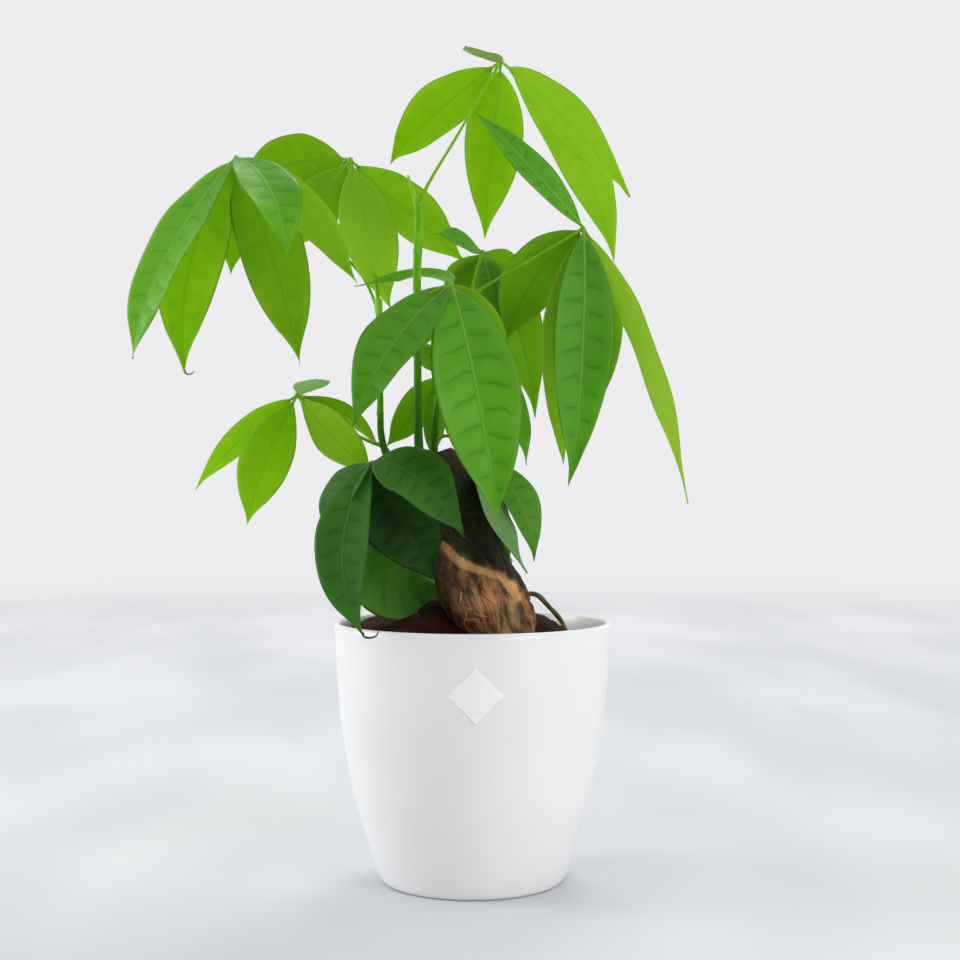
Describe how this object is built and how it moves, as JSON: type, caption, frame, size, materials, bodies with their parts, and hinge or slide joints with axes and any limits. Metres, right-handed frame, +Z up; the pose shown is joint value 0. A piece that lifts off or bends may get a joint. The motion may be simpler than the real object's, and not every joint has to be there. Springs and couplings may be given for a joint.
{
  "type": "potted money tree",
  "caption": "Potted house plant: a leaning bare trunk with slender green shoots and drooping palmate leaves, in a tapered round white pot filled with soil.",
  "frame": {"origin": "middle of the pot's flat underside", "axes": "+Z up along the pot's axis; the plant's front, with the blank label, faces -Y; +X to the right seen from the front"},
  "size_m": [0.2709, 0.17, 0.4183],
  "materials": {
    "pot_plastic": "satin",
    "label_paper": "matte",
    "soil": "matte",
    "bark": "matte",
    "shoot": "satin",
    "leaf": "satin",
    "leaf_old": "satin"
  },
  "bodies": {
    "root": {"pot": "pot_plastic", "label": "label_paper", "soil": "soil", "trunk": "bark", "shoot_main": "shoot", "shoot_middle": "shoot", "shoot_left": "shoot", "leaf_top": "leaf", "leaf_right": "leaf", "leaf_upper_middle": "leaf", "leaf_front": "leaf", "leaf_far_left": "leaf", "leaf_upper_left": "leaf", "leaf_left": "leaf", "leaf_low_left": "leaf_old", "leaf_inner": "leaf", "leaf_low_right": "leaf"}
  },
  "joints": []
}
